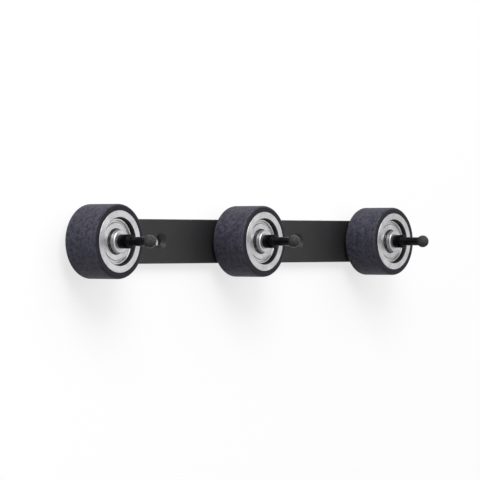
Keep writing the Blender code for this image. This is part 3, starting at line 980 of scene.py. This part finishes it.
def stage_paint(name, white, wall):
    """Matt paint on one side of a sheet, lifted to white for camera, glossy and transmission rays.

    Other rays pass through the floor and the return. On the wall the bare paint stops them, apart from
    those that set out right behind the rail, and the paint that the rail hides isn't lifted.
    """
    longest = 0.002          # length of a ray from right behind the rail to the wall
    rim = 0.001              # how far inside the rail's outline the wall stops being lifted
    material = bpy.data.materials.new(name)
    material.use_nodes = True
    material.cycles.emission_sampling = "NONE"
    paint = Graph(material.node_tree)
    paint.tree.nodes.clear()
    shown = paint.seen()
    lift = paint.times(shown, white)
    if wall:
        distance = paint.node("LightPath").outputs["Ray Length"]
        shown = paint.math("MAXIMUM", shown, paint.math("GREATER_THAN", distance, longest))
        out = paint.off_rail(paint.node("TexCoord").outputs["Object"])
        lift = paint.times(lift, paint.math("GREATER_THAN", out, RAIL_HIGH.z - rim))
    back = paint.node("NewGeometry").outputs["Backfacing"]
    shown = paint.times(shown, paint.math("SUBTRACT", 1.0, back))
    matt = paint.add("BsdfDiffuse", {"Color": tuple(bpy.context.scene.rack_colours.wall)})
    glow = paint.add("Emission", {"Strength": 1.0})
    clear = paint.add("BsdfTransparent", {})
    lifted = paint.add("MixShader", {0: lift, 1: matt, 2: glow})
    surface = paint.add("MixShader", {0: shown, 1: clear, 2: lifted})
    paint.feed(paint.node("OutputMaterial").inputs["Surface"], surface)
    return material


def sheet(name, corners, white, wall=False):
    """A flat, painted sheet of the stage."""
    bm = bmesh.new()
    bm.faces.new([bm.verts.new(corner) for corner in corners])
    mesh = bpy.data.meshes.new(f"studio {name}")
    bm.to_mesh(mesh)
    bm.free()
    mesh.materials.append(stage_paint(f"{name} paint", white, wall))
    made = bpy.data.objects.new(f"studio {name}", mesh)
    bpy.context.scene.collection.objects.link(made)


def lamp(name, power, size, place):
    """A soft square lamp aimed at the middle roller."""
    light = bpy.data.lights.new(name, "AREA")
    light.energy = power
    light.shape = "SQUARE"
    light.size = size
    made = bpy.data.objects.new(name, light)
    made.location = place
    made.rotation_euler = (-Vector(place)).to_track_quat("-Z", "Y").to_euler()
    bpy.context.scene.collection.objects.link(made)


class SKIRACK_OT_stage(bpy.types.Operator):
    """Sets up the camera, the lamps, the wall and the floor"""

    bl_idname = "ski_rack.stage"
    bl_label = "Studio"

    def execute(self, context):
        scene = context.scene
        stage = scene.rack_stage
        self.camera(scene, stage)
        self.world(scene, stage)
        lamp("key lamp", stage.key_power, size=0.9, place=(-0.75, -1.05, 1.15))
        lamp("rear lamp", stage.rear_power, size=0.9, place=(0.6, 1.3, 0.9))
        lamp("front lamp", stage.front_power, size=0.8, place=(0.62, -1.42, 0.05))
        gap = 0.0006             # from the rail to the painted wall
        half = 3.0               # half the wall's width, and its top
        low = -0.55              # height of the floor
        far = 14.0               # half the floor's width
        depth = 0.9              # of the return at the wall's left end
        sheet("wall", [(-half, gap, low), (half, gap, low), (half, gap, half), (-half, gap, half)],
              stage.wall_white, wall=True)
        sheet("floor", [(-far, -far, low), (far, -far, low), (far, far, low), (-far, far, low)],
              stage.floor_white)
        sheet("return", [(-half, gap, low), (-half, gap, half), (-half, -depth, half),
                         (-half, -depth, low)], stage.return_white)
        scene.view_settings.view_transform = "Standard"
        return {"FINISHED"}

    @staticmethod
    def camera(scene, stage):
        """A level camera at the photograph's station, framing a square window of the photograph."""
        data = bpy.data.cameras.new("camera")
        data.lens = data.sensor_width * stage.focal_pixels / stage.window_pixels
        made = bpy.data.objects.new("camera", data)
        made.location = stage.camera_place
        made.rotation_euler = (math.pi / 2, 0.0, -stage.camera_heading)
        scene.collection.objects.link(made)
        scene.camera = made

    @staticmethod
    def world(scene, stage):
        """White light, strongest overhead and weakest underneath, lifted to white where it is seen."""
        world = bpy.data.worlds.new("studio")
        world.use_nodes = True
        sky = Graph(world.node_tree)
        background = sky.tree.nodes["Background"]
        background.inputs["Color"].default_value = (1.0, 1.0, 1.0, 1.0)
        height = sky.split(sky.node("TexCoord").outputs["Generated"])[2]
        below = sky.ranged(height, -0.7, 0.0, stage.nadir, stage.horizon)
        above = sky.ranged(height, 0.0, 0.9, 0.0, stage.zenith - stage.horizon)
        lift = sky.times(sky.seen(), stage.sky_white)
        light = sky.times(sky.plus(below, above), sky.math("SUBTRACT", 1.0, lift))
        sky.feed(background.inputs["Strength"], sky.plus(light, lift))
        scene.world = world


PIECES = (SKIRACK_OT_rail, SKIRACK_OT_studs, SKIRACK_OT_bushes, SKIRACK_OT_hubs, SKIRACK_OT_races,
          SKIRACK_OT_shields, SKIRACK_OT_balls, SKIRACK_OT_tyres, SKIRACK_OT_pegs)


class SKIRACK_PT_panel(bpy.types.Panel):
    """Lists the rack's pieces, sizes, colours and studio"""

    bl_label = "Ski Wall Rack"
    bl_idname = "SKIRACK_PT_panel"
    bl_space_type = "VIEW_3D"
    bl_region_type = "UI"
    bl_category = "Ski Rack"

    def draw(self, context):
        for operator in PIECES + (SKIRACK_OT_stage,):
            self.layout.operator(operator.bl_idname)
        for group in (context.scene.rack_sizes, context.scene.rack_colours, context.scene.rack_stage):
            box = self.layout.box()
            for key in group.bl_rna.properties.keys():
                if key not in ("rna_type", "name"):
                    box.prop(group, key)


CLASSES = (RackSizes, RackColours, RackStage) + PIECES + (SKIRACK_OT_stage, SKIRACK_PT_panel)


def register():
    for cls in CLASSES:
        bpy.utils.register_class(cls)
    bpy.types.Scene.rack_sizes = PointerProperty(type=RackSizes)
    bpy.types.Scene.rack_colours = PointerProperty(type=RackColours)
    bpy.types.Scene.rack_stage = PointerProperty(type=RackStage)


def unregister():
    del bpy.types.Scene.rack_stage
    del bpy.types.Scene.rack_colours
    del bpy.types.Scene.rack_sizes
    for cls in reversed(CLASSES):
        bpy.utils.unregister_class(cls)


def main():
    register()
    bpy.ops.ski_rack.stage()
    bpy.ops.ski_rack.rail()
    bpy.ops.ski_rack.studs()
    bpy.ops.ski_rack.bushes()
    bpy.ops.ski_rack.hubs()
    bpy.ops.ski_rack.races()
    bpy.ops.ski_rack.shields()
    bpy.ops.ski_rack.balls()
    bpy.ops.ski_rack.tyres()
    bpy.ops.ski_rack.pegs()


if __name__ == "__main__":
    main()
